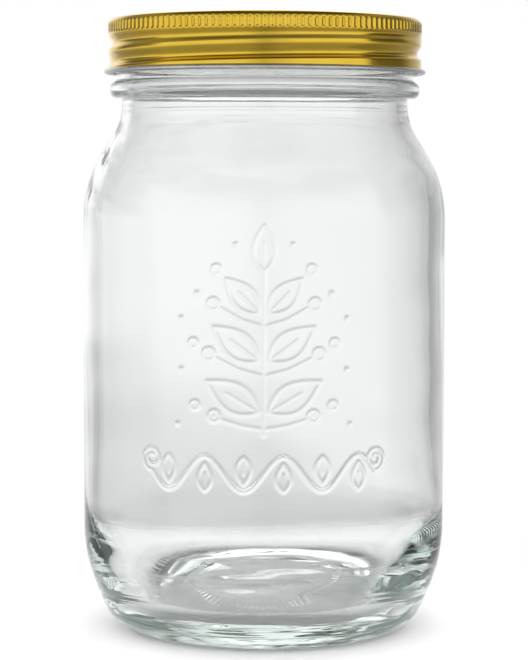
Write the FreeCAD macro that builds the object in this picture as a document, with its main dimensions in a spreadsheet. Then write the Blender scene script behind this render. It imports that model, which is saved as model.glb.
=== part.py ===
"""Wide-mouth mason jar with a two-piece screw lid.

Four separate pieces: the blown glass jar, the pressed screw band, the flat lid
disc and the ring of sealing compound under the disc. Millimetres, +Z up, with
the origin at the centre of the ring that the jar stands on.
"""
import FreeCAD, Part
import os
import Sketcher

SIZES = [
    # jar, outside
    ("body_radius", 51.0, "outside of the straight body"),
    ("foot_inner_radius", 34.0, "inner edge of the standing ring"),
    ("foot_corner_radius", 42.0, "where the slanted heel line meets the table"),
    ("heel_corner_height", 17.8, "where the slanted heel line meets the body"),
    ("heel_round", 50.0, "large heel radius"),
    ("foot_round", 10.5, "small heel radius"),
    ("push_up_radius", 22.0, "flat of the push-up under the base"),
    ("push_up_height", 3.0, "height of the push-up under the base"),
    ("push_up_round", 50.0, "rounding of the push-up"),
    ("shoulder_low", 124.93, "lower corner of the shoulder line"),
    ("shoulder_high", 143.04, "upper corner of the shoulder line"),
    ("shoulder_round", 33.5, "convex shoulder radius"),
    ("neck_round", 17.0, "concave neck radius"),
    ("neck_radius", 40.12, "outside of the neck"),
    ("bead_radius", 43.47, "outside of the transfer bead"),
    ("bead_low", 148.8, "underside of the bead at the neck"),
    ("bead_low_edge", 149.3, "lower edge of the bead"),
    ("bead_high_edge", 153.2, "upper edge of the bead"),
    ("bead_high", 153.9, "top of the bead at the finish"),
    ("bead_round", 2.0, "rounding of the bead"),
    ("finish_radius", 41.77, "outside of the threaded finish"),
    ("rim_height", 169.55, "sealing rim of the glass"),
    ("rim_round", 1.2, "rounding of the sealing rim"),
    # jar, inside
    ("inside_radius", 48.0, "inside of the body"),
    ("mouth_radius", 37.2, "inside of the neck and mouth"),
    ("floor_height", 8.6, "inside floor"),
    ("floor_radius", 37.6, "where the floor meets the inner heel line"),
    ("inside_heel_height", 26.0, "where the inner heel line meets the wall"),
    ("inside_heel_round", 38.0, "inner heel radius"),
    ("inside_floor_round", 10.0, "inner floor radius"),
    ("inside_shoulder_low", 124.1, "lower corner of the inner shoulder"),
    ("inside_shoulder_high", 142.07, "upper corner of the inner shoulder"),
    ("inside_shoulder_round", 30.5, "inner shoulder radius"),
    ("inside_neck_round", 20.0, "inner neck radius"),
    # thread
    ("pitch", 5.08, "thread pitch, five to the inch"),
    ("glass_thread_centre", 159.06, "start of the glass thread"),
    ("glass_thread_rise", 8.47, "rise of the glass thread, 1.67 turns"),
    ("glass_thread_root", 41.4, "foot of the ridge, inside the finish wall"),
    ("glass_thread_crest", 43.2, "crest radius of the glass thread"),
    ("glass_thread_foot_half", 1.15, "half width at the foot"),
    ("glass_thread_crest_half", 0.4, "half width at the crest"),
    # screw band
    ("band_radius", 43.96, "outside of the band wall"),
    ("band_inside_radius", 43.51, "inside of the band wall"),
    ("band_top", 171.25, "top of the band"),
    ("band_flange_under", 170.75, "underside of the band's flange"),
    ("band_opening_radius", 38.5, "opening in the top of the band"),
    ("band_top_round", 1.7, "outer rounding of the top edge"),
    ("band_top_inner_round", 1.2, "inner rounding of the top edge"),
    ("curl_centre_radius", 44.48, "centre line of the rolled lower edge"),
    ("curl_centre_height", 156.45, "height of the rolled lower edge"),
    ("curl_round", 0.65, "section radius of the rolled lower edge"),
    ("knurl_low", 166.8, "lower end of the knurling"),
    ("knurl_high", 170.0, "upper end of the knurling"),
    ("knurl_depth", 0.28, "depth of each knurl groove"),
    ("knurl_half_width", 0.42, "half width of each knurl groove"),
    ("knurl_count", 140, "knurl grooves round the band"),
    ("band_thread_centre", 159.1, "start of the rolled thread"),
    ("band_thread_rise", 6.9, "rise of the rolled thread, 1.36 turns"),
    ("band_thread_start", 200.0, "degrees round from +X to the start"),
    ("band_thread_crest", 42.45, "crest radius inside the band"),
    ("band_thread_groove", 42.9, "bottom of the groove outside the band"),
    ("band_crest_half", 0.47, "half width of the inner crest"),
    ("band_foot_half", 2.0, "half width of the inner ridge at the wall"),
    ("band_foot_lean", 0.32, "how far the foot sits above the crest, for a long upper flank"),
    ("band_groove_half", 0.32, "half width of the groove's bottom"),
    ("band_groove_mouth_half", 2.34, "half width of the groove's mouth"),
    ("band_groove_lean", 0.46, "how far the mouth sits above the groove's bottom"),
    ("band_groove_mouth", 44.3, "radius at which the groove's mouth is drawn"),
    # lid disc
    ("disc_radius", 42.5, "edge of the lid disc"),
    ("disc_under", 170.33, "underside of the disc's rim"),
    ("disc_top", 170.68, "top of the disc's rim"),
    ("panel_radius", 37.7, "outer edge of the raised panel"),
    ("panel_inner_radius", 37.0, "top edge of the panel's step"),
    ("panel_under", 170.7, "underside of the panel"),
    ("panel_top", 171.05, "top of the panel"),
    ("recess_radius", 27.5, "outer edge of the panel's recess"),
    ("recess_inner_radius", 26.5, "foot of the panel's recess"),
    ("recess_under", 170.35, "underside of the recess"),
    ("recess_top", 170.7, "top of the recess"),
    ("button_radius", 13.0, "foot of the centre button"),
    ("button_under", 170.65, "underside of the button"),
    ("button_top", 171.0, "top of the button at the axis"),
    # sealing compound
    ("seal_inner_radius", 38.1, "inner edge of the sealing ring"),
    ("seal_outer_radius", 41.95, "outer edge of the sealing ring"),
    ("seal_under", 169.58, "underside of the ring, on the glass rim"),
    ("seal_round", 0.25, "rounding of the ring's lower edges"),
]
VALUE = {alias: value for alias, value, note in SIZES}

doc = FreeCAD.newDocument("MasonJar")
sheet = doc.addObject("Spreadsheet::Sheet", "Dims")
for row, (alias, value, note) in enumerate(SIZES, start=1):
    sheet.set("A%d" % row, alias)
    sheet.set("B%d" % row, str(value))
    sheet.set("C%d" % row, note)
    sheet.setAlias("B%d" % row, alias)
doc.recompute()


def bind(owner, prop, alias):
    """Tie one property of an object to a cell of the sheet."""
    owner.setExpression(prop, "Dims." + alias)


def new_body(label):
    body = doc.addObject("PartDesign::Body", label)
    body.Label = label
    body.Placement = FreeCAD.Placement()
    return body


def origin_feature(body, role):
    return [f for f in body.Origin.OriginFeatures if f.Role == role][0]


def section_sketch(body, name, corners):
    """Closed polygon in the XZ plane. Each corner is (radius, height), both
    aliases of the sheet, and None stands for the axis or the table."""
    sketch = body.newObject("Sketcher::SketchObject", name)
    sketch.AttachmentSupport = (origin_feature(body, "XZ_Plane"), [""])
    sketch.MapMode = "FlatFace"
    points = [FreeCAD.Vector(VALUE[r] if r else 0.0, VALUE[z] if z else 0.0, 0.0)
              for r, z in corners]
    count = len(points)
    for i in range(count):
        sketch.addGeometry(Part.LineSegment(points[i], points[(i + 1) % count]), False)
    for i in range(count):
        sketch.addConstraint(Sketcher.Constraint("Coincident", i, 2, (i + 1) % count, 1))
    for i, (r, z) in enumerate(corners):
        for kind, alias, axis in (("DistanceX", r, -2), ("DistanceY", z, -1)):
            if alias is None:
                sketch.addConstraint(Sketcher.Constraint("PointOnObject", i, 1, axis))
                continue
            number = sketch.addConstraint(
                Sketcher.Constraint(kind, -1, 1, i, 1, float(VALUE[alias])))
            sketch.setExpression("Constraints[%d]" % number, "Dims." + alias)
    return sketch


def revolve(body, sketch, name):
    turned = body.newObject("PartDesign::Revolution", name)
    turned.Profile = (sketch, [""])
    turned.ReferenceAxis = (sketch, ["V_Axis"])
    turned.Angle = 360.0
    doc.recompute()
    return turned


def circle_edges(feature, radius, height):
    """Names of the feature's circular edges at one radius and height."""
    names = []
    for i, edge in enumerate(feature.Shape.Edges, start=1):
        box = edge.BoundBox
        if abs(box.ZMax - height) < 1e-3 and abs(box.ZMin - height) < 1e-3:
            reach = max(abs(box.XMin), abs(box.XMax))
            if abs(reach - radius) < 1e-3:
                names.append("Edge%d" % i)
    return names


def round_corner(body, base, name, radius_alias, r, z):
    fillet = body.newObject("PartDesign::Fillet", name)
    fillet.Base = (base, circle_edges(base, VALUE[r], VALUE[z] if z else 0.0))
    fillet.Radius = VALUE[radius_alias]
    bind(fillet, "Radius", radius_alias)
    doc.recompute()
    return fillet


def helix(body, sketch, name, kind, rise_alias):
    thread = body.newObject("PartDesign::" + kind, name)
    thread.Profile = (sketch, [""])
    thread.ReferenceAxis = (sketch, ["V_Axis"])
    thread.Mode = 0
    bind(thread, "Pitch", "pitch")
    bind(thread, "Height", rise_alias)
    thread.LeftHanded = False
    doc.recompute()
    return thread


# ---- glass jar --------------------------------------------------------------
jar = new_body("glass_jar")
jar_section = section_sketch(jar, "JarSection", [
    (None, "push_up_height"),
    ("push_up_radius", "push_up_height"),
    ("foot_inner_radius", None),
    ("foot_corner_radius", None),
    ("body_radius", "heel_corner_height"),
    ("body_radius", "shoulder_low"),
    ("neck_radius", "shoulder_high"),
    ("neck_radius", "bead_low"),
    ("bead_radius", "bead_low_edge"),
    ("bead_radius", "bead_high_edge"),
    ("finish_radius", "bead_high"),
    ("finish_radius", "rim_height"),
    ("mouth_radius", "rim_height"),
    ("mouth_radius", "inside_shoulder_high"),
    ("inside_radius", "inside_shoulder_low"),
    ("inside_radius", "inside_heel_height"),
    ("floor_radius", "floor_height"),
    (None, "floor_height"),
])
solid = revolve(jar, jar_section, "JarTurned")
JAR_ROUNDS = [
    ("HeelRound", "heel_round", "body_radius", "heel_corner_height"),
    ("FootRound", "foot_round", "foot_corner_radius", None),
    ("PushUpRound", "push_up_round", "push_up_radius", "push_up_height"),
    ("ShoulderRound", "shoulder_round", "body_radius", "shoulder_low"),
    ("NeckRound", "neck_round", "neck_radius", "shoulder_high"),
    ("BeadLowRound", "bead_round", "bead_radius", "bead_low_edge"),
    ("BeadHighRound", "bead_round", "bead_radius", "bead_high_edge"),
    ("RimOuterRound", "rim_round", "finish_radius", "rim_height"),
    ("RimInnerRound", "rim_round", "mouth_radius", "rim_height"),
    ("InsideNeckRound", "inside_neck_round", "mouth_radius", "inside_shoulder_high"),
    ("InsideShoulderRound", "inside_shoulder_round", "inside_radius",
     "inside_shoulder_low"),
    ("InsideHeelRound", "inside_heel_round", "inside_radius", "inside_heel_height"),
    ("InsideFloorRound", "inside_floor_round", "floor_radius", "floor_height"),
]
for name, radius_alias, r, z in JAR_ROUNDS:
    solid = round_corner(jar, solid, name, radius_alias, r, z)


def ridge_sketch(body, name, centre, near, far, near_half, far_half, turn=None, lean=None):
    """Trapezoid across a helical ridge: near_half wide at radius near and
    far_half wide at radius far, about the height centre. The alias turn
    swings its plane round the axis, and lean lifts the corners at near."""
    sketch = body.newObject("Sketcher::SketchObject", name)
    sketch.AttachmentSupport = (origin_feature(body, "XZ_Plane"), [""])
    sketch.MapMode = "FlatFace"
    if turn:
        sketch.AttachmentOffset = FreeCAD.Placement(
            FreeCAD.Vector(), FreeCAD.Rotation(FreeCAD.Vector(0, 1, 0), VALUE[turn]))
        bind(sketch, "AttachmentOffset.Rotation.Angle", turn)
    corners = [(near, near_half, -1, lean), (far, far_half, -1, None),
               (far, far_half, 1, None), (near, near_half, 1, lean)]
    points = [FreeCAD.Vector(VALUE[r], VALUE[centre] + side * VALUE[half]
                             + (VALUE[up] if up else 0.0), 0.0)
              for r, half, side, up in corners]
    for i in range(4):
        sketch.addGeometry(Part.LineSegment(points[i], points[(i + 1) % 4]), False)
    for i in range(4):
        sketch.addConstraint(Sketcher.Constraint("Coincident", i, 2, (i + 1) % 4, 1))
    for i, (r, half, side, up) in enumerate(corners):
        number = sketch.addConstraint(
            Sketcher.Constraint("DistanceX", -1, 1, i, 1, points[i].x))
        sketch.setExpression("Constraints[%d]" % number, "Dims." + r)
        number = sketch.addConstraint(
            Sketcher.Constraint("DistanceY", -1, 1, i, 1, points[i].y))
        sign = "+" if side > 0 else "-"
        height = "Dims.%s %s Dims.%s" % (centre, sign, half)
        sketch.setExpression("Constraints[%d]" % number,
                             height + (" + Dims." + up if up else ""))
    return sketch


jar_thread = ridge_sketch(jar, "JarThreadSection", "glass_thread_centre",
                          "glass_thread_root", "glass_thread_crest",
                          "glass_thread_foot_half", "glass_thread_crest_half")
solid = helix(jar, jar_thread, "JarThread", "AdditiveHelix", "glass_thread_rise")
jar.Tip = solid

# ---- screw band -------------------------------------------------------------
band = new_body("screw_band")
band_section = section_sketch(band, "BandSection", [
    ("band_inside_radius", "curl_centre_height"),
    ("band_radius", "curl_centre_height"),
    ("band_radius", "band_top"),
    ("band_opening_radius", "band_top"),
    ("band_opening_radius", "band_flange_under"),
    ("band_inside_radius", "band_flange_under"),
])
solid = revolve(band, band_section, "BandTurned")
solid = round_corner(band, solid, "BandTopRound", "band_top_round", "band_radius",
                     "band_top")
solid = round_corner(band, solid, "BandTopInnerRound", "band_top_inner_round",
                     "band_inside_radius", "band_flange_under")

curl_sketch = band.newObject("Sketcher::SketchObject", "CurlSection")
curl_sketch.AttachmentSupport = (origin_feature(band, "XZ_Plane"), [""])
curl_sketch.MapMode = "FlatFace"
curl_sketch.addGeometry(Part.Circle(
    FreeCAD.Vector(VALUE["curl_centre_radius"], VALUE["curl_centre_height"], 0.0),
    FreeCAD.Vector(0, 0, 1), VALUE["curl_round"]), False)
for kind, alias in (("DistanceX", "curl_centre_radius"),
                    ("DistanceY", "curl_centre_height")):
    number = curl_sketch.addConstraint(
        Sketcher.Constraint(kind, -1, 1, 0, 3, VALUE[alias]))
    curl_sketch.setExpression("Constraints[%d]" % number, "Dims." + alias)
number = curl_sketch.addConstraint(Sketcher.Constraint("Radius", 0, VALUE["curl_round"]))
curl_sketch.setExpression("Constraints[%d]" % number, "Dims.curl_round")
solid = revolve(band, curl_sketch, "BandCurl")

ridge = ridge_sketch(band, "BandRidgeSection", "band_thread_centre",
                     "band_inside_radius", "band_thread_crest",
                     "band_foot_half", "band_crest_half", "band_thread_start",
                     "band_foot_lean")
solid = helix(band, ridge, "BandRidge", "AdditiveHelix", "band_thread_rise")
groove = ridge_sketch(band, "BandGrooveSection", "band_thread_centre",
                      "band_groove_mouth", "band_thread_groove",
                      "band_groove_mouth_half", "band_groove_half",
                      "band_thread_start", "band_groove_lean")
solid = helix(band, groove, "BandGroove", "SubtractiveHelix", "band_thread_rise")

knurl_sketch = band.newObject("Sketcher::SketchObject", "KnurlSection")
knurl_sketch.AttachmentSupport = (origin_feature(band, "YZ_Plane"), [""])
knurl_sketch.MapMode = "FlatFace"
knurl_sketch.AttachmentOffset = FreeCAD.Placement(
    FreeCAD.Vector(0, 0, VALUE["band_radius"] - VALUE["knurl_depth"]),
    FreeCAD.Rotation())
knurl_sketch.setExpression("AttachmentOffset.Base.z",
                           "Dims.band_radius - Dims.knurl_depth")
half = VALUE["knurl_half_width"]
slot = [FreeCAD.Vector(x, VALUE[z], 0.0) for x, z in (
    (-half, "knurl_low"), (half, "knurl_low"), (half, "knurl_high"), (-half, "knurl_high"))]
for i in range(4):
    knurl_sketch.addGeometry(Part.LineSegment(slot[i], slot[(i + 1) % 4]), False)
for i in range(4):
    knurl_sketch.addConstraint(Sketcher.Constraint("Coincident", i, 2, (i + 1) % 4, 1))
    knurl_sketch.addConstraint(
        Sketcher.Constraint("Horizontal" if i % 2 == 0 else "Vertical", i))
for name, first, second, alias in (("DistanceY", (-1, 1), (0, 1), "knurl_low"),
                                   ("DistanceY", (-1, 1), (2, 1), "knurl_high"),
                                   ("DistanceX", (-1, 1), (0, 2), "knurl_half_width"),
                                   ("DistanceX", (0, 1), (-1, 1), "knurl_half_width")):
    number = knurl_sketch.addConstraint(
        Sketcher.Constraint(name, *first, *second, VALUE[alias]))
    knurl_sketch.setExpression("Constraints[%d]" % number, "Dims." + alias)
doc.recompute()
notch = band.newObject("PartDesign::Pocket", "KnurlNotch")
notch.Profile = (knurl_sketch, [""])
notch.Type = 0
notch.Length = 2.0
notch.Reversed = True
doc.recompute()
notches = band.newObject("PartDesign::PolarPattern", "Knurling")
notches.Originals = [notch]
notches.Axis = (origin_feature(band, "Z_Axis"), [""])
notches.Angle = 360.0
notches.Occurrences = int(VALUE["knurl_count"])
bind(notches, "Occurrences", "knurl_count")
band.Tip = notches
doc.recompute()
print("cut by the knurling %.1f mm3" % (solid.Shape.Volume - band.Shape.Volume))

# ---- lid disc ---------------------------------------------------------------
disc = new_body("lid_disc")
disc_section = section_sketch(disc, "DiscSection", [
    (None, "button_under"),
    ("button_radius", "recess_under"),
    ("recess_inner_radius", "recess_under"),
    ("recess_radius", "panel_under"),
    ("panel_inner_radius", "panel_under"),
    ("panel_radius", "disc_under"),
    ("disc_radius", "disc_under"),
    ("disc_radius", "disc_top"),
    ("panel_radius", "disc_top"),
    ("panel_inner_radius", "panel_top"),
    ("recess_radius", "panel_top"),
    ("recess_inner_radius", "recess_top"),
    ("button_radius", "recess_top"),
    (None, "button_top"),
])
disc.Tip = revolve(disc, disc_section, "DiscTurned")

# ---- ring of sealing compound ----------------------------------------------
seal = new_body("sealing_ring")
seal_section = section_sketch(seal, "SealSection", [
    ("seal_inner_radius", "seal_under"),
    ("seal_outer_radius", "seal_under"),
    ("seal_outer_radius", "disc_under"),
    ("seal_inner_radius", "disc_under"),
])
solid = revolve(seal, seal_section, "SealTurned")
solid = round_corner(seal, solid, "SealInnerRound", "seal_round",
                     "seal_inner_radius", "seal_under")
solid = round_corner(seal, solid, "SealOuterRound", "seal_round",
                     "seal_outer_radius", "seal_under")
seal.Tip = solid

# ---- check and write --------------------------------------------------------
doc.recompute()
PIECES = [jar, band, disc, seal]
for item in doc.Objects:
    if "Invalid" in item.State or "Error" in item.State:
        raise RuntimeError("%s failed: %s" % (item.Name, item.State))
for piece in PIECES:
    if piece.Shape.isNull() or not piece.Shape.isValid():
        raise RuntimeError("%s has no valid shape" % piece.Label)
    if len(piece.Shape.Solids) != 1:
        raise RuntimeError("%s is not one solid" % piece.Label)
os.makedirs("parts", exist_ok=True)
for piece in PIECES:
    piece.Shape.exportStep(os.path.join("parts", piece.Label + ".step"))
    box = piece.Shape.BoundBox
    print(piece.Label, "volume %.0f mm3" % piece.Shape.Volume,
          "z %.2f to %.2f" % (box.ZMin, box.ZMax), "width %.2f" % box.XLength)
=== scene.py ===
"""Looks of the wide-mouth jar: clear moulded glass, gold screw band, lid disc and sealing ring."""
import math

import bpy
import numpy as np
from mathutils import Matrix


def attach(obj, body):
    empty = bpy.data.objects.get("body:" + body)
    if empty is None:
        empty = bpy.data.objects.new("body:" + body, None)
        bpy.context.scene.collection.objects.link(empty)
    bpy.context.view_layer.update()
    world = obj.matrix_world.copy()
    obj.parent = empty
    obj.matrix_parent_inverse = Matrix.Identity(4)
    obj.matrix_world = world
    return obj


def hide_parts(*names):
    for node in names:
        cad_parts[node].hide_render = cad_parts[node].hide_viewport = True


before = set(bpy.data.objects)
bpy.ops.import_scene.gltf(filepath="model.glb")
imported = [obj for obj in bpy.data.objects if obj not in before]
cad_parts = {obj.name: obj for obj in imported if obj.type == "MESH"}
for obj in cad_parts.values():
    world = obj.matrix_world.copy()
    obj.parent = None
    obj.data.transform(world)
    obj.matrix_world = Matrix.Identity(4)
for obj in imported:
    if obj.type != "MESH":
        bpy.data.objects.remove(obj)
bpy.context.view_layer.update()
MM = 0.001

# ---- sizes in millimetres and degrees, following the solid model --------------
PITCH = 5.08
FRONT = -90.0            # azimuth of the decorated front, from +X
BODY_RADIUS = 51.0
OUTER_WALL = 39.0        # the outside of the wall is wider than this everywhere
RIM_HEIGHT = 169.55
FINISH_LOW = 154.5       # the threaded finish starts above the bead here

GLASS_THREAD_START, GLASS_THREAD_RISE, GLASS_THREAD_ANGLE = 159.06, 8.47, 0.0
GLASS_THREAD_HEIGHT, GLASS_THREAD_HALF, GLASS_THREAD_FLANK = 1.43, 1.15, 0.75

GROOVE_START, GROOVE_RISE, GROOVE_ANGLE, GROOVE_FADE = 159.1, 6.9, 200.0, 30.0
GROOVE_DEPTH, GROOVE_FLAT, GROOVE_LOWER_FLANK = 1.1, 0.15, 1.6


# ---- helpers ----------------------------------------------------------------
def smooth(x):
    """0 below 0, 1 above 1, and an even curve between."""
    x = np.clip(x, 0.0, 1.0)
    return x * x * (3.0 - 2.0 * x)


def rounded(corners, spacing, turn_step=7.0):
    """Profile through the corners (r, z, radius), each corner rounded by its
    radius. spacing(r, z) is the longest step allowed there. Returns (r, z)."""
    path = []
    last = len(corners) - 1
    for i, (r, z, radius) in enumerate(corners):
        p = np.array((r, z), float)
        if i in (0, last) or radius <= 0.0:
            path.append(p)
            continue
        a = np.array(corners[i - 1][:2], float) - p
        b = np.array(corners[i + 1][:2], float) - p
        a /= np.linalg.norm(a)
        b /= np.linalg.norm(b)
        inner = math.acos(float(np.clip(a @ b, -1, 1)))
        reach = radius / math.tan(inner / 2)
        mid = (a + b) / np.linalg.norm(a + b)
        centre = p + mid * radius / math.sin(inner / 2)
        start, end = p + a * reach - centre, p + b * reach - centre
        a0, a1 = math.atan2(start[1], start[0]), math.atan2(end[1], end[0])
        sweep = (a1 - a0 + math.pi) % (2 * math.pi) - math.pi
        steps = max(3, int(abs(math.degrees(sweep)) / turn_step) + 1,
                    int(radius * abs(sweep) / spacing(*p)) + 1)
        for k in range(steps + 1):
            t = a0 + sweep * k / steps
            path.append(centre + radius * np.array((math.cos(t), math.sin(t))))
    dense = [path[0]]
    for a, b in zip(path, path[1:]):
        length = np.linalg.norm(b - a)
        if length < 1e-6:
            continue
        middle = (a + b) / 2
        count = max(1, int(math.ceil(length / spacing(*middle))))
        dense += [a + (b - a) * k / count for k in range(1, count + 1)]
    return np.array(dense)


def outward(profile):
    """Unit normals of a profile (r, z), to the right of its direction: they face
    outward where it runs out under the base and up the outside."""
    d = np.gradient(profile, axis=0)
    d /= np.linalg.norm(d, axis=1)[:, None]
    return np.stack((d[:, 1], -d[:, 0]), axis=1)


def signed_volume(mesh):
    """Positive if the closed mesh's faces point outward."""
    mesh.calc_loop_triangles()
    co = np.zeros(len(mesh.vertices) * 3)
    mesh.vertices.foreach_get("co", co)
    co = co.reshape(-1, 3)
    tri = np.zeros(len(mesh.loop_triangles) * 3, int)
    mesh.loop_triangles.foreach_get("vertices", tri)
    a, b, c = co[tri.reshape(-1, 3)].transpose(1, 0, 2)
    return float(np.einsum("ij,ij->i", a, np.cross(b, c)).sum() / 6.0)


def over_columns(path, angles):
    """Grids of radius and height: the profile repeated at every column."""
    return tuple(np.repeat(path[:, k:k + 1], len(angles), axis=1) for k in (0, 1))


def turned_mesh(name, radius, height, angles, poles=(False, False), loop=False):
    """Mesh from grids radius and height [row, column] at the column angles in
    degrees. poles closes the first and last rows with one point on the axis;
    loop joins the last row back to the first."""
    rows, columns = radius.shape
    rad = np.radians(angles)
    x = radius * np.cos(rad) * MM
    y = radius * np.sin(rad) * MM
    points = np.stack((x, y, height * MM), axis=2).reshape(-1, 3)
    row_pairs = [(i, i + 1) for i in range(rows - 1)]
    if loop:
        row_pairs.append((rows - 1, 0))
    index = np.arange(rows * columns).reshape(rows, columns)
    shifted = np.roll(index, -1, axis=1)
    quads = [np.stack((index[a], shifted[a], shifted[b], index[b]), axis=1)
             for a, b in row_pairs]
    faces = np.concatenate(quads)
    polygons = faces.tolist()
    extra = []
    for end, row in ((0, 0), (1, rows - 1)):
        if poles[end]:
            tip = rows * columns + len(extra)
            extra.append((0.0, 0.0, float(height[row].mean()) * MM))
            ring, after = index[row], shifted[row]
            for k in range(columns):
                polygons.append([tip, int(after[k]), int(ring[k])] if end == 0
                                else [tip, int(ring[k]), int(after[k])])
    if extra:
        points = np.concatenate((points, np.array(extra)))
    mesh = bpy.data.meshes.new(name)
    mesh.from_pydata(points.tolist(), [], polygons)
    mesh.update()
    if signed_volume(mesh) < 0.0:
        mesh.flip_normals()
    mesh.polygons.foreach_set("use_smooth", [True] * len(mesh.polygons))
    thing = bpy.data.objects.new(name, mesh)
    bpy.context.scene.collection.objects.link(thing)
    return thing


def helix_height(angles, z, start, rise, first_angle, shape, fade=22.0):
    """Height of a helical ridge over a grid of rows z and columns angles.
    shape(d, centre) is its height d above the ridge's line, which is at height
    centre there. Both ends fade out over fade degrees."""
    height = np.zeros(z.shape)
    total = rise / PITCH * 360.0
    for turn in range(-1, int(total // 360) + 2):
        along = (angles - first_angle) % 360.0 + 360.0 * turn
        inside = smooth((along + fade) / fade) * smooth((total + fade - along) / fade)
        centre = start + PITCH * np.clip(along, 0, total) / 360.0
        height = np.maximum(height, shape(z - centre, centre) * inside)
    return height


# ---- raised decoration on the front of the jar ------------------------------
def distance_to_path(u, v, path):
    """Distance from the points (u, v) to a polyline."""
    best = np.full(u.shape, 1e9)
    for (x0, y0), (x1, y1) in zip(path, path[1:]):
        dx, dy = x1 - x0, y1 - y0
        t = np.clip(((u - x0) * dx + (v - y0) * dy) / (dx * dx + dy * dy + 1e-12), 0, 1)
        best = np.minimum(best, np.hypot(u - x0 - t * dx, v - y0 - t * dy))
    return best


def line_relief(u, v, path, half_width=0.82, height=0.27):
    """Soft ridge along a polyline."""
    d = distance_to_path(u, v, path) / half_width
    return height * np.clip(1 - d ** 2, 0, 1) ** 2


def berry(u, v, x, y, radius, height=0.36):
    """Low round button with a raised rim."""
    d = np.hypot(u - x, v - y) / radius
    rim = np.clip(1 - ((d - 0.78) * radius / 0.72) ** 2, 0, 1) ** 2
    dome = np.clip(1 - d ** 2, 0, 1) ** 1.5
    return height * np.maximum(0.85 * rim * (radius > 1.4), dome * (0.55 if radius > 1.4 else 1.0))


def leaf_outline(x, y, heading, length, width, count=12):
    """Closed pointed-leaf outline from its stalk at (x, y)."""
    points = []
    for side in (1, -1):
        for k in range(count + 1):
            t = k / count if side == 1 else 1 - k / count
            w = width / 2 * math.sin(math.pi * t ** 0.85) * side
            points.append((t * length, w))
    c, s = math.cos(heading), math.sin(heading)
    return [(x + c * a - s * b, y + s * a + c * b) for a, b in points]


def leaf(u, v, x, y, heading, length, width):
    """Outlined leaf with a short middle rib."""
    relief = line_relief(u, v, leaf_outline(x, y, heading, length, width))
    reach = [(x + t * length * math.cos(heading), y + t * length * math.sin(heading))
             for t in (0.0, 0.62)]
    return np.maximum(relief, line_relief(u, v, reach, 0.6, 0.17))


STEM_LOW, STEM_HIGH = 60.0, 103.0
# Each row of the next three is drawn on both sides of the stem.
# Leaves: height on the stem, length, width, lean from upright.
LEAVES = ((66.0, 16.0, 7.4, 60), (79.5, 15.0, 7.0, 54), (92.0, 12.5, 6.0, 44))
# Stalks: height on the stem, distance out and height of the end, radius of its berry.
STALKS = ((75.5, 13.0, 80.3, 2.0), (88.5, 11.8, 93.5, 1.9), (61.5, 11.5, 64.0, 1.9))
# Loose berries: distance out, height, radius.
BERRIES = ((19.0, 84.0, 1.5), (18.0, 97.0, 1.3), (18.6, 67.6, 1.5), (12.6, 103.5, 1.5),
           (22.5, 77.0, 1.0), (22.5, 90.5, 1.0), (7.5, 110.0, 1.0), (23.5, 62.5, 1.0))
VINE_HEIGHT, VINE_SWING, VINE_WAVE, VINE_HALF, VINE_CURL = 49.6, 4.6, 21.0, 31.5, 3.3


def sprig(u, v):
    """Reliefs of the upright stem and its leaves, stalks and berries."""
    yield line_relief(u, v, [(0.0, STEM_LOW), (0.0, STEM_HIGH)], 0.85, 0.28)
    yield leaf(u, v, 0.0, STEM_HIGH, math.radians(90), 12.0, 5.8)
    for side in (1, -1):
        for y, length, width, lean in LEAVES:
            yield leaf(u, v, side * 1.3, y, math.radians(90 - side * lean), length, width)
        for y, x_end, y_end, radius in STALKS:
            bend = (side * x_end * 0.5, y + (y_end - y) * 0.35)
            yield line_relief(u, v, [(0.0, y), bend, (side * x_end, y_end)], 0.7, 0.22)
            yield berry(u, v, side * (x_end + 1.7), y_end + 0.9, radius)
        for x, y, radius in BERRIES:
            yield berry(u, v, side * x, y, radius)


def vine(u, v):
    """Reliefs of a wave with a leaf in each bend and a curl at each end."""
    wave = [(x, VINE_HEIGHT + VINE_SWING * math.sin(2 * math.pi * x / VINE_WAVE))
            for x in np.linspace(-VINE_HALF, VINE_HALF, 91)]
    yield line_relief(u, v, wave, 0.9, 0.34)
    for k in range(-3, 3):
        up = 1 if k % 2 == 0 else -1
        yield leaf(u, v, (k + 0.5) * VINE_WAVE / 2, VINE_HEIGHT - up * VINE_SWING,
                   math.radians(90 * up), 7.4, 3.7)
    for side in (1, -1):
        curl = []
        for t in np.linspace(0.0, 1.0, 26):
            a = -0.5 * math.pi + t * 3.1 * math.pi
            reach = VINE_CURL * (1 - 0.7 * t)
            curl.append((side * (VINE_HALF + reach * math.cos(a)),
                         VINE_HEIGHT + VINE_CURL + reach * math.sin(a)))
        yield line_relief(u, v, curl, 0.85, 0.34)


def decoration(u, v):
    """Height of the relief at (u, v): millimetres round the wall from the
    front line, and height above the table. A plain upright sprig of leaves
    and berries over a running vine."""
    relief = np.zeros(u.shape)
    for part in (*sprig(u, v), *vine(u, v)):
        np.maximum(relief, part, out=relief)
    return relief


# ---- glass jar --------------------------------------------------------------
def jar_spacing(r, z):
    """Longest step of the outside profile, finer where there is detail."""
    if r > 40.0 and 40.0 < z < 116.5:       # decoration
        return 0.34
    if r > OUTER_WALL and z > 142.0:       # neck, bead and thread
        return 0.3
    if r > 33.0 and z < 12.0:               # standing ring and heel lines
        return 0.35
    if 20.0 < r < 24.0 and z < 4.0:         # ring of bars
        return 0.35
    return 1.1


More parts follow.
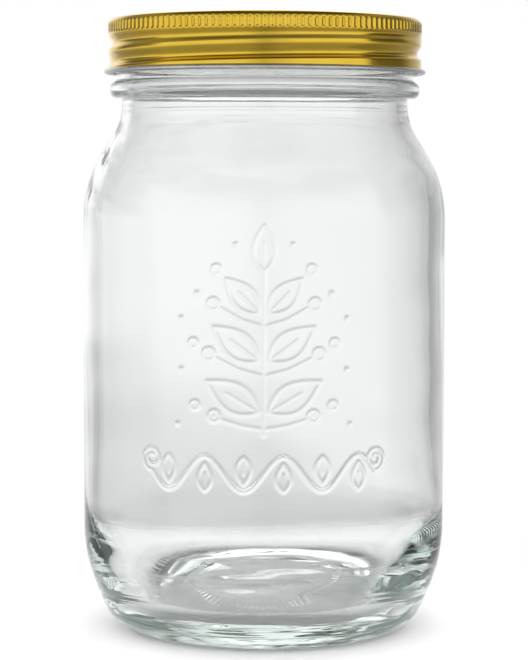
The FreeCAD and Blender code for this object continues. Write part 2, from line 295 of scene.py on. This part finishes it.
# Corners (radius, height, rounding) of the two profiles, from the axis outward
# under the base and up, then down inside to the middle of the floor.
OUTSIDE = [
    (1.2, 3.0, 0), (22.0, 3.0, 50.0), (34.0, 0.0, 1.2), (42.0, 0.0, 10.5),
    (BODY_RADIUS, 17.8, 50.0), (BODY_RADIUS, 124.93, 33.5), (40.12, 143.04, 17.0),
    (40.12, 148.8, 0.4), (43.47, 149.3, 2.0), (43.47, 153.2, 2.0), (41.77, 153.9, 0.3),
    (41.77, RIM_HEIGHT, 1.2), (39.4, RIM_HEIGHT, 0),
]
INSIDE = [
    (39.4, RIM_HEIGHT, 0), (37.2, RIM_HEIGHT, 1.2), (37.2, 142.07, 20.0), (48.0, 124.1, 30.5),
    (48.0, 26.0, 38.0), (37.6, 8.6, 10.0), (20.0, 8.4, 60.0), (1.2, 9.0, 0),
]
SIDE_SEAMS, SEAM_LIFT, SEAM_SPREAD = (0.0, 180.0), 0.10, 0.5
NECK_LINES, NECK_LINE_LIFT, NECK_LINE_SPREAD = (146.3, 144.9), 0.07, 0.22
HEEL_LINES = ((1.3, 0.05), (2.5, 0.05), (4.3, 0.06), (6.9, 0.03))     # height, lift
HEEL_LINE_SPREAD = 0.30
FOOT_RIBS, RIB_HEIGHT = 120, 0.14         # round the standing ring
BARS, BAR_HEIGHT = 90, 0.16               # round the middle of the base
BAR_RADIUS, BAR_HALF = 22.0, 1.2


def jar_angles():
    """Columns round the jar, closer together across the decorated front."""
    front = np.linspace(-132.0, -48.0, 240, endpoint=False)
    rest = np.linspace(-48.0, 228.0, 368, endpoint=False)
    return np.concatenate((front, rest))


def along_wall(angles, azimuth):
    """Millimetres round the body from an azimuth, -180 to 180 degrees of it."""
    return BODY_RADIUS * np.radians((angles[None, :] - azimuth + 180.0) % 360.0 - 180.0)


def outside_lift(path, angles, r, z):
    """Height of everything raised on the outside of the jar."""
    theta = np.radians(angles)[None, :]
    lift = np.zeros(r.shape)
    # thread on the finish
    finish = (path[:, 1:] > FINISH_LOW) & (path[:, :1] > 40.5)
    lift += np.where(finish, helix_height(
        angles[None, :], z, GLASS_THREAD_START, GLASS_THREAD_RISE, GLASS_THREAD_ANGLE,
        lambda d, centre: GLASS_THREAD_HEIGHT * smooth((GLASS_THREAD_HALF - np.abs(d))
                                                       / GLASS_THREAD_FLANK)), 0.0)
    # decoration
    u = along_wall(angles, FRONT)
    near = (np.abs(u) < 37.5) & (z > 40.0) & (z < 117.0) & (r > 49.0)
    relief = np.zeros(r.shape)
    relief[near] = decoration(np.broadcast_to(u, r.shape)[near], z[near])
    lift += relief
    # parting lines of the mould: two up the sides, two round the neck
    for seam in SIDE_SEAMS:
        off = along_wall(angles, seam)
        lift += (SEAM_LIFT * np.exp(-(off / SEAM_SPREAD) ** 2)
                 * ((z > 12.0) & (z < 148.0) & (r > OUTER_WALL)))
    for ring in NECK_LINES:
        lift += NECK_LINE_LIFT * np.exp(-((z - ring) / NECK_LINE_SPREAD) ** 2) * (r > OUTER_WALL)
    # slow waves left by the mould
    lift += np.where((r > 39.5) & (z > 8.0) & (z < 142.0),
                     0.05 * np.sin(5 * theta + 0.03 * z)
                     + 0.04 * np.sin(9 * theta - 0.06 * z + 1.0), 0.0)
    # fine lines round the heel, where the halves of the mould meet its base
    for line, size in HEEL_LINES:
        lift += size * np.exp(-((z - line) / HEEL_LINE_SPREAD) ** 2) * (r > 37.0)
    return lift


def base_detail(r, z, theta):
    """Heights under the base, with ribs on the standing ring and a ring of bars."""
    gaps = 0.5 - 0.5 * np.cos(FOOT_RIBS * theta)
    foot = smooth((r - 33.4) / 0.8) * smooth((40.0 - r) / 1.6) * (z < 2.0)
    z = z + RIB_HEIGHT * foot * gaps
    bars = (smooth((BAR_HALF - np.abs(r - BAR_RADIUS)) / 0.6) * (z < 4.0)
            * smooth(0.2 + np.cos(BARS * theta)))
    return z - BAR_HEIGHT * bars


def uneven_inside(r, z, theta):
    """Inside surface of a blown jar: the wall's thickness wanders, with lumps
    and creases at the shoulder, and the floor has shallow waves."""
    right, left = np.clip(np.cos(theta), 0, 1), np.clip(-np.cos(theta), 0, 1)
    wall = smooth((148.0 - z) / 16.0) * smooth((z - 9.0) / 16.0)
    thick = 0.4 + right * (1.1 * np.exp(-((z - 101.0) / 28.0) ** 2)
                           - 1.3 * np.exp(-((z - 34.0) / 15.0) ** 2))
    thick = thick + left * 1.0 * np.exp(-((z - 38.0) / 28.0) ** 2)
    thick = thick + 0.10 * np.sin(3 * theta + 0.05 * z) + 0.05 * np.sin(0.13 * z + 2 * theta)
    thick = thick + 0.03 * np.sin(0.33 * z - 3 * theta)
    lumps = np.exp(-((z - 131.0) / 9.0) ** 2)
    thick = thick + lumps * 0.13 * np.sin(0.8 * z + 9 * theta) * (0.3 + left)
    crease = np.exp(-((z - 130.0) / 8.0) ** 2) * left ** 3
    thick = thick + 0.10 * crease * np.sin(1.3 * z + 16 * theta) * np.sin(0.9 * z - 13 * theta)
    r = r - np.clip(thick, -0.9, 3.0) * wall
    across, along = r * np.cos(theta), r * np.sin(theta)
    floor_zone = smooth((41.0 - r) / 5.0) * smooth((15.0 - z) / 5.0)
    z = z + floor_zone * (0.15 * np.sin(0.07 * across + 0.30 * along + 0.6)
                          + 0.10 * np.sin(0.50 * along - 0.09 * across + 2.0)
                          + 0.04 * np.sin(0.27 * across + 0.9 * along))
    return r, z


def build_jar():
    angles = jar_angles()
    theta = np.radians(angles)[None, :]
    out_path = rounded(OUTSIDE, jar_spacing)
    in_path = rounded(INSIDE, lambda r, z: 1.2)[1:]
    normal = outward(out_path)
    r, z = over_columns(out_path, angles)
    lift = outside_lift(out_path, angles, r, z)
    r = r + normal[:, :1] * lift
    z = base_detail(r, z + normal[:, 1:] * lift, theta)
    ri, zi = uneven_inside(*over_columns(in_path, angles), theta)
    return turned_mesh("jar_glass", np.concatenate((r, ri)), np.concatenate((z, zi)),
                       angles, poles=(True, True))


# ---- screw band -------------------------------------------------------------
KNURLS = 140
KNURL_COLUMNS = (-0.5, -0.32, -0.22, -0.11, 0.0, 0.11, 0.22, 0.32)   # shares of one knurl
KNURL_LOW, KNURL_HIGH, KNURL_DEPTH = 166.7, 170.2, 0.30
ROLLED_ABOVE = 157.2     # the groove fades out above the curl, down to here
BAND_OUTER = [(38.5, 170.97, 0), (38.75, 171.2, 0.2), (43.96, 171.25, 1.7), (43.96, 157.1, 0)]
BAND_INNER = [(43.56, 156.9, 0), (43.56, 170.8, 1.2), (38.75, 170.8, 0.15), (38.5, 170.97, 0)]
WALL_RADIUS = 43.0       # the band's wall is outside this, its flange inside it
CURL_RADIUS, CURL_HEIGHT, CURL_ROUND = 44.44, 156.47, 0.66


def band_groove(angles, z):
    """Inward depth of the rolled thread: a long upper flank and a short lower
    one, shallower where it runs out under the knurling."""
    def shape(d, centre):
        room = np.clip(167.0 - centre, 0.8, 2.6)
        beyond = np.abs(d) - GROOVE_FLAT
        flank = np.where(d > 0, room, GROOVE_LOWER_FLANK)
        depth = GROOVE_DEPTH * (1.0 - 0.55 * smooth((centre - 163.8) / 1.4))
        return depth * (0.5 + 0.5 * np.cos(math.pi * np.clip(beyond / flank, 0, 1)))
    return helix_height(angles, z, GROOVE_START, GROOVE_RISE, GROOVE_ANGLE, shape, GROOVE_FADE)


def build_band():
    columns = np.array(KNURL_COLUMNS)
    angles = ((np.arange(KNURLS)[:, None] + columns[None, :]) * 360.0 / KNURLS).ravel() - 90.0
    phase = np.tile(np.abs(columns), KNURLS)[None, :]
    outer = rounded(BAND_OUTER, lambda r, z: 0.22 if r > WALL_RADIUS else 0.5, 12.0)
    inner = rounded(BAND_INNER, lambda r, z: 0.35 if r > WALL_RADIUS else 0.6, 15.0)
    path = np.concatenate((outer, inner[:-1]))
    r, z = over_columns(path, angles)
    groove = np.where(path[:, :1] > WALL_RADIUS, band_groove(angles[None, :], z), 0.0)
    r = r - groove * smooth((z - ROLLED_ABOVE) / 0.9)
    # knurling: slots with rounded ends, pressed in all round
    pressed = smooth((0.32 - phase) / 0.30)
    rows = smooth((z - KNURL_LOW) / 0.9) * smooth((KNURL_HIGH - z) / 0.9)
    r = r - np.where(path[:, :1] > WALL_RADIUS, KNURL_DEPTH * rows * pressed, 0.0)
    return turned_mesh("band_shell", r, z, angles, loop=True)


def build_curl():
    """Rolled lower edge: the sheet turns outward, so its bare side shows."""
    angles = np.arange(0, 360, 0.75)
    around = np.radians(np.arange(0, 360, 12.0))[::-1]
    path = np.stack((CURL_RADIUS + CURL_ROUND * np.cos(around),
                     CURL_HEIGHT + CURL_ROUND * np.sin(around)), axis=1)
    return turned_mesh("band_curl", *over_columns(path, angles), angles, loop=True)


# ---- lid disc and sealing ring ----------------------------------------------
DISC_TOP = [(1.0, 171.0, 0), (13.0, 170.7, 4.0), (26.5, 170.7, 1.0), (27.5, 171.05, 0.8),
            (37.0, 171.05, 0.6), (37.7, 170.68, 0.5), (42.35, 170.68, 0.12), (42.5, 170.5, 0)]
DISC_UNDER = [(42.5, 170.5, 0), (42.35, 170.35, 0.1), (37.7, 170.35, 0.4), (37.0, 170.7, 0.5),
              (27.5, 170.7, 0.8), (26.5, 170.37, 0.8), (13.0, 170.37, 4.0), (1.0, 170.67, 0)]
SEAL = [(38.1, 170.32, 0), (38.1, 169.6, 0.3), (41.95, 169.6, 0.3), (41.95, 170.32, 0)]


def build_disc():
    angles = np.arange(0, 360, 1.0)
    under = rounded(DISC_UNDER[::-1], lambda r, z: 0.7, 15)
    top = rounded(DISC_TOP[::-1], lambda r, z: 0.7, 15)
    path = np.concatenate((under, top[1:]))
    return turned_mesh("lid_panel", *over_columns(path, angles), angles, poles=(True, True))


def build_seal():
    angles = np.arange(0, 360, 1.5)
    path = rounded(SEAL, lambda r, z: 0.5, 15)
    return turned_mesh("seal_ring", *over_columns(path, angles), angles, loop=True)


# ---- materials --------------------------------------------------------------
FLOOR_RADIUS = 0.14              # metres
FLOOR_FADE = (0.058, 0.13)       # where its fading starts and ends, metres out
FLOOR_TONE = 0.33


def grey(level):
    return (level, level, level, 1)


def new_material(name):
    """Material with an empty Principled shader on its surface."""
    material = bpy.data.materials.new(name)
    material.use_nodes = True
    tree = material.node_tree
    tree.nodes.clear()
    out = tree.nodes.new("ShaderNodeOutputMaterial")
    shader = tree.nodes.new("ShaderNodeBsdfPrincipled")
    tree.links.new(shader.outputs["BSDF"], out.inputs["Surface"])
    return material, tree, shader, out


def noise(tree, scale, detail, roughness, stretch=None):
    """Noise in the object's own coordinates, which can be stretched."""
    coords = tree.nodes.new("ShaderNodeTexCoord")
    node = tree.nodes.new("ShaderNodeTexNoise")
    node.inputs["Scale"].default_value = scale
    node.inputs["Detail"].default_value = detail
    node.inputs["Roughness"].default_value = roughness
    source = coords.outputs["Object"]
    if stretch:
        mapping = tree.nodes.new("ShaderNodeMapping")
        mapping.inputs["Scale"].default_value = stretch
        tree.links.new(source, mapping.inputs["Vector"])
        source = mapping.outputs["Vector"]
    tree.links.new(source, node.inputs["Vector"])
    return node.outputs["Fac"]


def ramp(tree, source, low, high, colours, target):
    """Drive the socket target from one colour at low to another at high."""
    node = tree.nodes.new("ShaderNodeValToRGB")
    for element, place, colour in zip(node.color_ramp.elements, (low, high), colours):
        element.position = place
        element.color = colour
    tree.links.new(source, node.inputs["Fac"])
    tree.links.new(node.outputs["Color"], target)
    return node


def bump(tree, shader, source, strength, distance):
    node = tree.nodes.new("ShaderNodeBump")
    node.inputs["Strength"].default_value = strength
    node.inputs["Distance"].default_value = distance
    tree.links.new(source, node.inputs["Height"])
    tree.links.new(node.outputs["Normal"], shader.inputs["Normal"])


def glass_material():
    material, tree, shader, out = new_material("clear_moulded_glass")
    shader.inputs["Base Color"].default_value = (0.955, 0.958, 0.957, 1)
    shader.inputs["Roughness"].default_value = 0.0
    shader.inputs["IOR"].default_value = 1.52
    shader.inputs["Transmission Weight"].default_value = 1.0
    bump(tree, shader, noise(tree, 55.0, 2.0, 0.4, (1.0, 1.0, 0.45)), 0.1, 0.0003)
    absorb = tree.nodes.new("ShaderNodeVolumeAbsorption")
    absorb.inputs["Color"].default_value = (0.84, 0.915, 0.885, 1)
    absorb.inputs["Density"].default_value = 16.0
    tree.links.new(absorb.outputs["Volume"], out.inputs["Volume"])
    return material


def gold_material():
    material, tree, shader, _ = new_material("gold_lacquer")
    shader.inputs["Metallic"].default_value = 1.0
    ramp(tree, noise(tree, 90.0, 5.0, 0.6), 0.35, 0.65,
         ((0.71, 0.475, 0.040, 1), (0.77, 0.515, 0.055, 1)), shader.inputs["Base Color"])
    haze = noise(tree, 260.0, 4.0, 0.6)
    ramp(tree, haze, 0.3, 0.7, (grey(0.12), grey(0.17)), shader.inputs["Roughness"])
    shader.inputs["Coat Weight"].default_value = 0.3
    shader.inputs["Coat Roughness"].default_value = 0.06
    bump(tree, shader, haze, 0.08, 0.0001)
    return material


def tin_material():
    material, tree, shader, _ = new_material("bare_tinplate")
    shader.inputs["Metallic"].default_value = 1.0
    tone = noise(tree, 200.0, 4.0, 0.6)
    ramp(tree, tone, 0.35, 0.65, ((0.62, 0.62, 0.63, 1), (0.74, 0.74, 0.75, 1)),
         shader.inputs["Base Color"])
    ramp(tree, tone, 0.3, 0.7, (grey(0.26), grey(0.36)), shader.inputs["Roughness"])
    return material


def coating(name, texture, dark, light, roughness, strength=0.1, depth=0.0001):
    """Coat whose tone wanders between dark and light. texture is the noise's
    scale, detail and roughness, and strength and depth are the bump's."""
    material, tree, shader, _ = new_material(name)
    tone = noise(tree, *texture)
    ramp(tree, tone, 0.3, 0.7, (dark, light), shader.inputs["Base Color"])
    shader.inputs["Roughness"].default_value = roughness
    bump(tree, shader, tone, strength, depth)
    return material


def enamel_material():
    """White coat inside the band."""
    return coating("white_enamel", (120.0, 3.0, 0.5), (0.95, 0.95, 0.94, 1),
                   (0.97, 0.97, 0.96, 1), 0.3)


def under_lid_painted_shade_material():
    """Dark grey under the lid: painted shade, much darker than the light reaching the lid's
    underside would leave it.
    """
    return coating("under_lid_painted_shade", (140.0, 3.0, 0.5), (0.15, 0.15, 0.146, 1),
                   (0.185, 0.185, 0.18, 1), 0.35)


def seal_material():
    return coating("sealing_compound", (300.0, 4.0, 0.6), (0.42, 0.38, 0.34, 1),
                   (0.52, 0.48, 0.43, 1), 0.55, strength=0.3, depth=0.0002)


def floor_material():
    """Pale matt floor that fades away round the jar, into the white behind it."""
    material, tree, shader, out = new_material("pale_floor")
    shader.inputs["Base Color"].default_value = grey(FLOOR_TONE)
    shader.inputs["Roughness"].default_value = 0.9
    shader.inputs["Specular IOR Level"].default_value = 0.0
    coords = tree.nodes.new("ShaderNodeTexCoord")
    length = tree.nodes.new("ShaderNodeVectorMath")
    length.operation = "LENGTH"
    tree.links.new(coords.outputs["Object"], length.inputs[0])
    clear = tree.nodes.new("ShaderNodeBsdfTransparent")
    mix = tree.nodes.new("ShaderNodeMixShader")
    fade = ramp(tree, length.outputs["Value"], *FLOOR_FADE, (grey(0), grey(1)), mix.inputs["Fac"])
    fade.color_ramp.interpolation = "EASE"
    tree.links.new(shader.outputs["BSDF"], mix.inputs[1])
    tree.links.new(clear.outputs["BSDF"], mix.inputs[2])
    tree.links.new(mix.outputs["Shader"], out.inputs["Surface"])
    return material


# ---- put the pieces together -------------------------------------------------
LIP_HEIGHT, FLANGE_HEIGHT = 0.1708, 0.170      # metres

jar = build_jar()
jar.data.materials.append(glass_material())
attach(jar, "jar")
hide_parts("glass_jar")

gold = gold_material()
shell = build_band()
shell.data.materials.append(gold)
shell.data.materials.append(enamel_material())
for face in shell.data.polygons:      # enamel inside, and under the flange
    c, n = face.center, face.normal
    faces_axis = c.x * n.x + c.y * n.y < -1e-4 * c.length and n.z > -0.9
    if (faces_axis and c.z < LIP_HEIGHT) or (n.z < -0.5 and c.z > FLANGE_HEIGHT):
        face.material_index = 1
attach(shell, "band")
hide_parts("screw_band")

curl = build_curl()
curl.data.materials.append(tin_material())
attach(curl, "band")

panel = build_disc()
panel.data.materials.append(gold)
# The lid's underside is coloured dark grey as painted shade.
panel.data.materials.append(under_lid_painted_shade_material())
for face in panel.data.polygons:      # painted shade underneath
    if face.normal.z < -0.2:
        face.material_index = 1
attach(panel, "lid")
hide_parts("lid_disc")

seal = build_seal()
seal.data.materials.append(seal_material())
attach(seal, "lid")
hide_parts("sealing_ring")

# ---- stage, light and camera --------------------------------------------------
bpy.ops.mesh.primitive_circle_add(vertices=96, radius=FLOOR_RADIUS, fill_type="NGON")
floor = bpy.context.object
floor.name = "floor"
floor.data.materials.append(floor_material())

# Brightness round the horizon, from behind the camera, by the left, to behind it
# again by the right: 0.25 is -X, 0.5 is +Y and 0.75 is +X.
AROUND_LOW = ((0.0, 0.70), (0.04, 1.0), (0.10, 1.05), (0.27, 1.0), (0.30, 0.80), (0.34, 0.75),
              (0.375, 0.62), (0.405, 0.66), (0.42, 0.95), (0.44, 1.10), (0.50, 1.02),
              (0.522, 0.97), (0.536, 0.93), (0.550, 0.85), (0.565, 0.76), (0.60, 0.65),
              (0.63, 0.62), (0.665, 0.60), (0.70, 0.60), (0.745, 0.62), (0.775, 1.0),
              (0.93, 1.05), (1.0, 0.70))
AROUND_MIDDLE = ((0.0, 0.70), (0.04, 1.0), (0.10, 1.05), (0.27, 1.0), (0.30, 0.85), (0.34, 0.80),
                 (0.375, 0.76), (0.405, 0.80), (0.42, 1.0), (0.44, 1.10), (0.50, 1.02),
                 (0.522, 0.97), (0.536, 0.93), (0.550, 0.80), (0.565, 0.62), (0.60, 0.42),
                 (0.63, 0.40), (0.665, 0.38), (0.70, 0.38), (0.745, 0.42), (0.775, 1.0),
                 (0.93, 1.05), (1.0, 0.70))
AROUND_HIGH = ((0.0, 0.66), (0.04, 1.0), (0.10, 1.05), (0.222, 1.05), (0.262, 0.26), (0.35, 0.16),
               (0.375, 0.50), (0.395, 1.0), (0.44, 1.12), (0.50, 1.05), (0.536, 0.97),
               (0.556, 0.80), (0.60, 0.55), (0.63, 0.42), (0.665, 0.14), (0.70, 0.10),
               (0.768, 0.10), (0.785, 1.0), (0.81, 1.08), (0.93, 1.05), (1.0, 0.66))
# Brightness overhead, round the same circle.
CEILING = ((0.0, 0.32), (0.42, 0.32), (0.46, 1.9), (0.54, 1.9), (0.58, 0.32), (1.0, 0.32))
# By height, 0 straight down and 1 straight up: the table's share of the horizon's
# brightness, where the upper circle takes over from the middle one, where the
# middle one takes over from the lower one, where the ceiling takes over, and the
# ceiling's falling off towards the zenith.
TABLE = ((0.0, 0.35), (0.25, 0.45), (0.35, 0.62), (0.42, 0.80), (0.435, 0.85), (0.45, 0.95),
         (0.465, 1.0), (1.0, 1.0))
STEP = ((0.0, 0.0), (0.508, 0.0), (0.516, 1.0), (1.0, 1.0))
LOW_STEP = ((0.0, 0.0), (0.428, 0.0), (0.446, 1.0), (1.0, 1.0))
RISE = ((0.0, 0.0), (0.66, 0.0), (0.76, 1.0), (1.0, 1.0))
ZENITH = ((0.0, 1.0), (0.86, 1.0), (0.91, 0.22), (1.0, 0.22))
MATT_LEVEL = 4.2         # light on matt surfaces, at which the floor comes out white


def level_ramp(tree, source, stops):
    """Grey colour ramp from (place, level) stops."""
    node = tree.nodes.new("ShaderNodeValToRGB")
    elements = node.color_ramp.elements
    while len(elements) < len(stops):
        elements.new(0.5)
    for element, (place, level) in zip(elements, stops):
        element.position = place
        element.color = grey(level)
    tree.links.new(source, node.inputs["Fac"])
    return node.outputs["Color"]


def blend(tree, share, first, second, mode="MIX"):
    """Mix of two colours. Each input is a socket, or a plain value."""
    node = tree.nodes.new("ShaderNodeMix")
    node.data_type = "RGBA"
    node.blend_type = mode
    for name, source in (("Factor", share), ("A", first), ("B", second)):
        if isinstance(source, (float, tuple)):
            node.inputs[name].default_value = source
        else:
            tree.links.new(source, node.inputs[name])
    return node.outputs["Result"]


def mapped(tree, source, low, high):
    """A socket's value between low and high as a share from 0 to 1."""
    node = tree.nodes.new("ShaderNodeMapRange")
    node.inputs["From Min"].default_value = low
    node.inputs["From Max"].default_value = high
    tree.links.new(source, node.inputs["Value"])
    return node.outputs["Result"]


def studio_world():
    """Surroundings of the jar: a white sweep behind, two tall soft boxes to the
    front left and front right, dark felt at both sides, a ceiling that is
    bright behind the jar and dark over the camera, and a table below. Matt
    surfaces get one even level instead, and the camera sees plain white."""
    world = bpy.data.worlds.new("studio")
    world.use_nodes = True
    # The level depends on the path, so light is found by following paths only.
    world.cycles.sampling_method = "NONE"
    bpy.context.scene.world = world
    tree = world.node_tree
    tree.nodes.clear()
    out = tree.nodes.new("ShaderNodeOutputWorld")
    coords = tree.nodes.new("ShaderNodeTexCoord")
    split = tree.nodes.new("ShaderNodeSeparateXYZ")
    tree.links.new(coords.outputs["Generated"], split.inputs["Vector"])
    angle = tree.nodes.new("ShaderNodeMath")
    angle.operation = "ARCTAN2"
    tree.links.new(split.outputs["X"], angle.inputs[0])
    tree.links.new(split.outputs["Y"], angle.inputs[1])
    share = mapped(tree, angle.outputs["Value"], -math.pi, math.pi)
    height = mapped(tree, split.outputs["Z"], -1.0, 1.0)
    low, middle, high, ceiling = (
        level_ramp(tree, share, stops)
        for stops in (AROUND_LOW, AROUND_MIDDLE, AROUND_HIGH, CEILING))
    table, low_step, step, rise, zenith = (
        level_ramp(tree, height, stops) for stops in (TABLE, LOW_STEP, STEP, RISE, ZENITH))
    level = blend(tree, step, blend(tree, low_step, low, middle), high)
    level = blend(tree, 1.0, level, table, "MULTIPLY")
    level = blend(tree, rise, level, ceiling)
    level = blend(tree, 1.0, level, zenith, "MULTIPLY")
    path = tree.nodes.new("ShaderNodeLightPath")
    matt = tree.nodes.new("ShaderNodeMath")
    matt.operation = "GREATER_THAN"
    matt.inputs[1].default_value = 0.5
    tree.links.new(path.outputs["Diffuse Depth"], matt.inputs[0])
    level = blend(tree, matt.outputs["Value"], level, grey(MATT_LEVEL))
    lit = tree.nodes.new("ShaderNodeBackground")
    tree.links.new(level, lit.inputs["Color"])
    plain = tree.nodes.new("ShaderNodeBackground")
    plain.inputs["Color"].default_value = grey(1)
    choose = tree.nodes.new("ShaderNodeMixShader")
    tree.links.new(path.outputs["Is Camera Ray"], choose.inputs["Fac"])
    tree.links.new(lit.outputs["Background"], choose.inputs[1])
    tree.links.new(plain.outputs["Background"], choose.inputs[2])
    tree.links.new(choose.outputs["Shader"], out.inputs["Surface"])


studio_world()

SENSOR, FOCAL_LENGTH = 36.0, 123.376364    # millimetres, along the taller side of the frame
CAMERA_PLACE = (0.0, -0.640, 0.13318)      # metres
CAMERA_DOWN, CAMERA_ROLL = 4.412, 0.19     # degrees

camera_data = bpy.data.cameras.new("camera")
camera = bpy.data.objects.new("camera", camera_data)
bpy.context.scene.collection.objects.link(camera)
camera_data.sensor_width = SENSOR
camera_data.lens = FOCAL_LENGTH
camera_data.clip_start, camera_data.clip_end = 0.01, 50.0
camera.matrix_world = (Matrix.Translation(CAMERA_PLACE)
                       @ Matrix.Rotation(math.radians(90.0 - CAMERA_DOWN), 4, "X")
                       @ Matrix.Rotation(math.radians(CAMERA_ROLL), 4, "Z"))
bpy.context.scene.camera = camera
bpy.context.scene.view_settings.view_transform = "Standard"
cycles = bpy.context.scene.cycles
cycles.max_bounces = 32
cycles.diffuse_bounces = 12
cycles.glossy_bounces = 24
cycles.transmission_bounces = 32
cycles.transparent_max_bounces = 16
